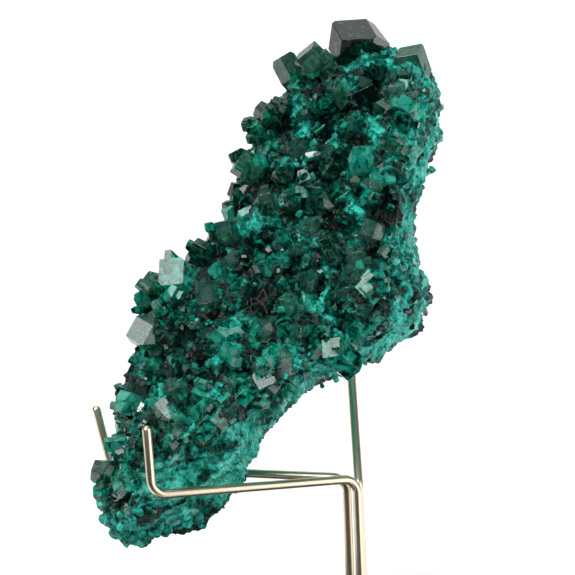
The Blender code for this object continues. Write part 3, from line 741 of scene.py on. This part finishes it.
def model_lump(chance, number):
    """A botryoidal lump of radius 1, as chrysocolla grows over rock: a ball swollen by rounded bumps."""
    deselect_all()
    bpy.ops.mesh.primitive_ico_sphere_add(subdivisions=2, radius=1.0)
    obj = bpy.context.object
    bumps = bpy.data.textures.new("botryoidal bumps", "VORONOI")
    bumps.noise_scale = chance.uniform(0.7, 0.9)
    bumps.noise_intensity = 0.9
    swell = obj.modifiers.new("bumps", "DISPLACE")
    swell.texture = bumps
    swell.mid_level = 0.5
    swell.strength = -0.45
    bpy.ops.object.modifier_apply(modifier=swell.name)
    bpy.data.textures.remove(bumps)
    bpy.ops.object.shade_smooth_by_angle(angle=math.radians(60))
    obj.name = f"lump_shape_{number}"
    return obj


def crust(lumps, tree, chance):
    """Patches of turquoise crust that stand between the crystals and along the foot of the rock."""
    made = []
    for x, z, width, largest in CRUST_PATCHES:
        for _ in range(int(4 * width / largest)):
            aside = 0.45 * width
            place, normal = seat(tree, chance.gauss(x, aside) * MM, chance.gauss(z, 0.6 * aside) * MM)
            axis = (normal + Vector([chance.gauss(0, 0.3) for _ in range(3)])).normalized()
            radius = largest * chance.uniform(0.35, 1.0) * MM
            rise = radius * chance.uniform(-0.3, 0.5)
            made.append(place_copy(chance.choice(lumps), place, axis, radius, rise, 0.0, chance.random()))
    return made


# The crystals

def model_crystal(chance, number, worn=True):
    """One crystal of radius 1, its tip at the origin: a six-sided prism cut by three sloping end faces."""
    length = chance.uniform(2.8, 3.3)
    deselect_all()
    bpy.ops.mesh.primitive_cylinder_add(vertices=6, radius=1.0, depth=length, location=(0, 0, -0.5 * length))
    obj = bpy.context.object
    bpy.ops.object.transform_apply(location=True, rotation=False, scale=False)
    bpy.ops.object.mode_set(mode="EDIT")
    bpy.ops.mesh.select_all(action="SELECT")
    bpy.ops.transform.resize(value=(1.0, chance.uniform(0.82, 1.0), 1.0), center_override=(0, 0, 0))
    for k in range(3):
        around = math.radians(120 * k + 30)
        slope = math.sin(END_FACE_SLOPE)
        normal = Vector((slope * math.cos(around), slope * math.sin(around), math.cos(END_FACE_SLOPE)))
        bpy.ops.mesh.select_all(action="SELECT")
        bpy.ops.mesh.bisect(
            plane_co=-normal * chance.uniform(0.0, 0.42), plane_no=normal, use_fill=True, clear_outer=True,
        )
    bpy.ops.mesh.select_all(action="SELECT")
    bpy.ops.mesh.normals_make_consistent(inside=False)
    bpy.ops.object.mode_set(mode="OBJECT")
    if worn:
        bevel = obj.modifiers.new("worn edges", "BEVEL")
        bevel.width = 0.018
        bevel.segments = 1
        bevel.limit_method = "ANGLE"
        bpy.ops.object.modifier_apply(modifier=bevel.name)
    obj.name = f"crystal_shape_{number}"
    return obj


def place_copy(shape, head, axis, radius, rise, turn, tone):
    """A copy of a crystal shape with its tip a rise above head along axis, and its own tone."""
    copy = shape.copy()
    copy.data = shape.data.copy()
    bpy.context.scene.collection.objects.link(copy)
    stand = axis.to_track_quat("Z", "Y").to_matrix().to_4x4()
    spin = Matrix.Rotation(turn, 4, "Z")
    copy.data.transform(Matrix.Translation(head + axis * rise) @ stand @ spin @ Matrix.Scale(radius, 4))
    attribute = copy.data.attributes.new("tone", "FLOAT", "POINT")
    attribute.data.foreach_set("value", np.full(len(copy.data.vertices), tone))
    return copy


def seat(tree, x, z):
    """Where the line of sight through x, z meets the matrix, or the nearest place on its edge."""
    place, normal, _, _ = tree.ray_cast(Vector((x, -1.0, z)), Vector((0, 1, 0)))
    if place is None:
        place = tree.find_nearest(Vector((x, -EDGE_CRYSTALS_FORWARD, z)))[0]
        normal = Vector((0, -1, 0))
    return place, normal


def turned_to_glint(axis):
    """The axis and turn nearest to axis that point one end face half-way between viewer and softbox."""
    face = (Vector((0, -1, 0)) + KEY_DIRECTION).normalized()
    aside = (axis - face * axis.dot(face)).normalized()
    axis = face * math.cos(END_FACE_SLOPE) + aside * math.sin(END_FACE_SLOPE)
    stand = axis.to_track_quat("Z", "Y").to_matrix()
    towards = stand.inverted() @ (face - axis * face.dot(axis))
    return axis, math.atan2(towards.y, towards.x) - math.radians(30)


def turn_to_look(axis, looks):
    """The turn about axis that points one end face the way looks says, as a viewer in front sees it."""
    way = Vector((math.cos(math.radians(looks)), 0, math.sin(math.radians(looks))))
    towards = axis.to_track_quat("Z", "Y").to_matrix().inverted() @ (way - axis * way.dot(axis))
    return math.atan2(towards.y, towards.x) - math.radians(30)


def grow(shapes, head, axis, radius, rise, turn, chance, companions, tone=None):
    """A crystal and smaller ones that grew in parallel with it, so that their faces light up together."""
    if tone is None:
        tone = chance.random()
    made = [place_copy(chance.choice(shapes), head, axis, radius, rise, turn, tone)]
    for _ in range(companions):
        aside = axis.orthogonal().normalized()
        aside.rotate(Matrix.Rotation(chance.uniform(0, math.tau), 3, axis))
        share = chance.uniform(*COMPANION_SIZES)
        place = head + aside * radius * chance.uniform(*COMPANION_ASIDE)
        lower = rise - radius * chance.uniform(*COMPANION_LOWER)
        made.append(place_copy(chance.choice(shapes), place, axis, radius * share, lower, turn, tone))
    return made


def main_crystals(shapes, tree, chance):
    made = []
    for number, (x, z, radius, lean_right, lean_up) in enumerate(MAIN_CRYSTALS):
        place, _ = seat(tree, x * MM, z * MM)
        on_face = abs(place.x - x * MM) < 1e-6 and abs(place.z - z * MM) < 1e-6
        head = Vector((x * MM, place.y, z * MM))
        axis = Vector((lean_right, -1.0, lean_up)).normalized()
        turn = chance.uniform(0, math.tau)
        if number in GLINTING:
            axis, turn = turned_to_glint(axis)
        elif number in FACE_LOOKS:
            turn = turn_to_look(axis, FACE_LOOKS[number])
        rise = radius * MM * chance.uniform(*MAIN_RISE)
        if on_face:
            rise += FACE_CRYSTALS_PROUDER * radius * MM
        head -= Vector((axis.x, 0, axis.z)) * rise * (0.8 if on_face else 0.6)
        companions = 0 if number in FACE_LOOKS else chance.choice((1, 2, 3))
        tone = DARK_TONE if number in CLOUDY_AND_DARK else BRIGHT_TONE if number in CLEAR_AND_BRIGHT else None
        group = grow(shapes, head, axis, radius * MM, rise, turn, chance, companions, tone)
        for crystal in group:
            if tone is not None:
                crystal["clear"] = number in CLEAR_AND_BRIGHT
        made += group
    return made


def in_the_way(tip, radius):
    """Whether a crystal would cover the middle of a crystal that a viewer picks out, or touch a wire."""
    if distance_to_wires(tip) < radius + WIRE_RADIUS + WIRE_ROOM:
        return True
    if tip.y > 0:
        return False
    for number, (x, z, size, _, _) in enumerate(MAIN_CRYSTALS):
        room = (1.0 if number in FACE_LOOKS else ROOM_ROUND_MAIN) * size * MM + 0.4 * radius
        if math.hypot(tip.x - x * MM, tip.z - z * MM) < room:
            return True
    return False


def ridge_turn(height):
    """The turn at which the crystal face meets the broken side."""
    return math.acos(1 - 2 * section_at(height)[6]) / math.tau


def scatter(shapes, tree, chance, turn_of, count, heights, radii, lean, rises, companions=0):
    """Crystals at random places round the body, standing on the rock and leaning any way."""
    made = []
    for _ in range(count):
        height = chance.uniform(*heights)
        turn = turn_of(height)
        own = random.Random(chance.getrandbits(32))
        place = tree.find_nearest(body_point(height, turn))[0]
        away = Vector([own.gauss(0, lean) for _ in range(3)])
        radius = radii[0] + (radii[1] - radii[0]) * own.random() ** 1.1
        radius *= min(1.0, 0.5 + 2 * height)
        rise = radius * own.uniform(*rises)
        axis = (body_normal(height, turn) + away).normalized()
        if in_the_way(place + axis * rise, radius):
            continue
        made += grow(shapes, place, axis, radius, rise, own.uniform(0, math.tau), own, companions)
    return made


def druse(shapes, tree, chance):
    """The crystals that fill the crystal face between the main ones."""
    made = []
    for count, top, first, last, smallest, largest, lean, low, high in DRUSE:
        def turn_of(height, first=first, last=last):
            return (chance.uniform(first, last) * ridge_turn(height)) % 1.0
        companions = 1 if largest > 2 else 0
        made += scatter(shapes, tree, chance, turn_of, count, (DRUSE_START, top),
                        (smallest * MM, largest * MM), lean, (low, high), companions)
    return made


def broken_grains(shapes, tree, chance):
    """Chips of broken crystal, half sunk in the broken side."""
    def turn_of(height):
        return chance.uniform(ridge_turn(height) * CHIPS_FROM_RIDGE, CHIPS_TO_TURN)
    return scatter(shapes, tree, chance, turn_of, *CHIPS)


def crystal_dust(shapes, tree, chance):
    """The smallest crystals of the druse, in every gap between the others."""
    def turn_of(height):
        return (chance.uniform(*DUST_TURNS) * ridge_turn(height)) % 1.0
    return scatter(shapes, tree, chance, turn_of, *DUST)


def crystals_behind(shapes, tree, chance):
    """Sparse small crystals over the back."""
    return scatter(shapes, tree, chance, lambda height: chance.uniform(*BEHIND_TURNS), *BEHIND)


# The stand

def bent_wire(name, corners):
    """A round wire drawn out along its straight runs, spun round its bends, and rounded off at its free tip."""
    corners = [Vector(corner) * MM for corner in corners]
    runs = [(b - a).normalized() for a, b in zip(corners, corners[1:])]
    deselect_all()
    bpy.ops.mesh.primitive_circle_add(
        vertices=WIRE_SIDES, radius=WIRE_RADIUS, fill_type="NGON", location=corners[0],
        rotation=runs[0].to_track_quat("Z", "Y").to_euler(),
    )
    obj = bpy.context.object
    bpy.ops.object.transform_apply(location=True, rotation=True, scale=True)
    bpy.ops.object.mode_set(mode="EDIT")
    bpy.ops.mesh.select_all(action="SELECT")
    at = corners[0]
    for corner, run, after in zip(corners[1:], runs, runs[1:]):
        angle = run.angle(after)
        bend_start = corner - run * WIRE_BEND * math.tan(angle / 2)
        bpy.ops.mesh.extrude_region_move(TRANSFORM_OT_translate={"value": bend_start - at})
        axis = run.cross(after).normalized()
        bpy.ops.mesh.spin(
            steps=WIRE_BEND_STEPS, angle=angle, center=bend_start + axis.cross(run) * WIRE_BEND, axis=-axis,
        )
        at = corner + after * WIRE_BEND * math.tan(angle / 2)
    tip = corners[-1] - runs[-1] * WIRE_RADIUS
    bpy.ops.mesh.extrude_region_move(TRANSFORM_OT_translate={"value": tip - at})
    share = 1.0
    for step in range(1, 5):
        slope = math.radians(20 * step)
        rise = runs[-1] * WIRE_RADIUS * (math.sin(slope) - math.sin(slope - math.radians(20)))
        bpy.ops.mesh.extrude_region_move(TRANSFORM_OT_translate={"value": rise})
        tip += rise
        closer = math.cos(slope) / share
        share = math.cos(slope)
        bpy.ops.transform.resize(value=(closer, closer, closer), center_override=tip)
    bpy.ops.mesh.select_all(action="SELECT")
    bpy.ops.mesh.normals_make_consistent(inside=False)
    bpy.ops.object.mode_set(mode="OBJECT")
    bpy.ops.object.shade_smooth_by_angle(angle=math.radians(40))
    obj.name = name
    obj.data.name = name
    return obj


# The scene around the object

def make_camera():
    camera = bpy.data.objects.new("camera", bpy.data.cameras.new("camera"))
    bpy.context.scene.collection.objects.link(camera)
    camera.data.sensor_width = SENSOR_WIDTH
    camera.data.lens = SENSOR_WIDTH * VIEW_DISTANCE / PICTURE_WIDTH
    back = Vector((0, -math.cos(VIEW_RISE), math.sin(VIEW_RISE)))
    camera.location = VIEW_MIDDLE + back * VIEW_DISTANCE
    camera.rotation_euler = (-back).to_track_quat("-Z", "Y").to_euler()
    camera.data.clip_start = 0.01
    bpy.context.scene.camera = camera


def add_lamp(name, kind, power, way, place=(0.0, 0.0, 0.0)):
    """A lamp at a place, shining from the way that is given. Returns its settings."""
    data = bpy.data.lights.new(name, kind)
    data.energy = power
    lamp = bpy.data.objects.new(name, data)
    bpy.context.scene.collection.objects.link(lamp)
    lamp.location = place
    lamp.rotation_euler = way.to_track_quat("Z", "Y").to_euler()
    return data


def make_lights():
    """A softbox high on the left in front, a small lamp for glints on a few facets, and a strip on the right."""
    add_lamp("key softbox", "SUN", KEY_STRENGTH, KEY_DIRECTION).angle = KEY_WIDTH
    add_lamp("sparkle lamp", "SUN", SPARKLE_STRENGTH, SPARKLE_DIRECTION).angle = SPARKLE_WIDTH
    strip = add_lamp("right strip", "AREA", STRIP_POWER, STRIP_PLACE - VIEW_MIDDLE, STRIP_PLACE)
    strip.shape = "RECTANGLE"
    strip.size, strip.size_y = STRIP_SIZE


def make_floor():
    """White paper that starts a little in front of the object and runs far back."""
    deselect_all()
    bpy.ops.mesh.primitive_plane_add(size=1.0)
    floor = bpy.context.object
    floor.scale = (FLOOR_WIDTH, FLOOR_BACK + FLOOR_FRONT, 1.0)
    floor.location = (0.0, 0.5 * (FLOOR_BACK - FLOOR_FRONT), 0.0)
    bpy.ops.object.transform_apply(location=True, rotation=False, scale=True)
    floor.name = "floor"
    mat, shader, place = new_material("white_paper")
    shader.inputs["Base Color"].default_value = to_linear("f4f4f4")
    shader.inputs["Roughness"].default_value = 0.9
    shader.inputs["Emission Color"].default_value = to_linear("ffffff")
    shader.inputs["Emission Strength"].default_value = 0.35
    floor.data.materials.append(mat)


def make_world():
    """White behind the object for the camera, and a dim room with a pale ceiling for everything else."""
    world = bpy.data.worlds.new("studio")
    world.use_nodes = True
    bpy.context.scene.world = world
    direction = add_node(world, "ShaderNodeTexCoord").outputs["Generated"]
    parts = add_node(world, "ShaderNodeSeparateXYZ", {"Vector": direction}).outputs
    ceiling = add_node(world, "ShaderNodeMapRange", {
        "Value": parts["Z"], "From Min": 0.8, "From Max": 0.97, "To Min": 0.0, "To Max": 1.1,
    })
    backdrop = add_node(world, "ShaderNodeMapRange", {
        "Value": parts["Y"], "From Min": 0.25, "From Max": 0.8, "To Min": 0.01, "To Max": 0.7,
    })
    both = add_node(world, "ShaderNodeMath", {0: ceiling.outputs[0], 1: backdrop.outputs[0]}, operation="ADD")
    seen = add_node(world, "ShaderNodeLightPath").outputs["Is Camera Ray"]
    strength = add_node(world, "ShaderNodeMix", {0: seen, 2: both.outputs[0], 3: 1.1})
    background = world.node_tree.nodes["Background"]
    background.inputs["Color"].default_value = to_linear("ffffff")
    world.node_tree.links.new(strength.outputs[0], background.inputs["Strength"])
    bpy.context.scene.view_settings.view_transform = "Standard"


make_camera()
make_world()
make_floor()
make_lights()

chance = random.Random(SCATTER_SEED)
matrix = make_matrix()
tree = BVHTree.FromObject(matrix, bpy.context.evaluated_depsgraph_get())
shapes = [model_crystal(chance, number) for number in range(CRYSTAL_SHAPES)]
crust_chance = random.Random(CRUST_SEED)
lumps = [model_lump(crust_chance, number) for number in range(LUMP_SHAPES)]
plain_shapes = [model_crystal(chance, CRYSTAL_SHAPES + number, worn=False) for number in range(PLAIN_SHAPES)]
clear = dioptase_crystal("clear_dioptase", 0.88, 950.0, "0e6e58", "60e2c4", "b8fff0")
cloudy = dioptase_crystal("cloudy_dioptase", 0.5, 900.0, "01201a", "0cac90", "54f0d4")


def in_two_kinds(crystals, name):
    """Joins crystals to one piece, some of them clear and the rest cloudy."""
    for crystal in crystals:
        crystal.data.materials.clear()
        is_clear = crystal.get("clear", chance.random() < CLEAR_SHARES[name])
        crystal.data.materials.append(clear if is_clear else cloudy)
    joined = join_as(crystals, name)
    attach(joined, "root")
    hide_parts("dioptase_specimen")
    return joined


finish_piece(matrix, [rock()], "dioptase", "dioptase_specimen")
in_two_kinds(main_crystals(shapes, tree, chance), "large_crystals")
in_two_kinds(druse(shapes, tree, chance), "small_crystals")
in_two_kinds(crystal_dust(plain_shapes, tree, chance), "crystal_dust")
in_two_kinds(crystals_behind(shapes, tree, chance), "crystals_behind")
in_two_kinds(broken_grains(shapes, tree, chance), "broken_grains")
finish_piece(join_as(crust(lumps, tree, crust_chance), "turquoise_crust"), [chrysocolla()], "dioptase",
             "dioptase_specimen")
for shape in shapes + plain_shapes + lumps:
    bpy.data.objects.remove(shape, do_unlink=True)

metal = nickel_brass()
for name, corners in WIRE_ROUTES.items():
    finish_piece(bent_wire("satin_" + name, corners), [metal], "wire", name)
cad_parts["stand_foot"].data.materials.clear()
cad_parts["stand_foot"].data.materials.append(black_enamel())
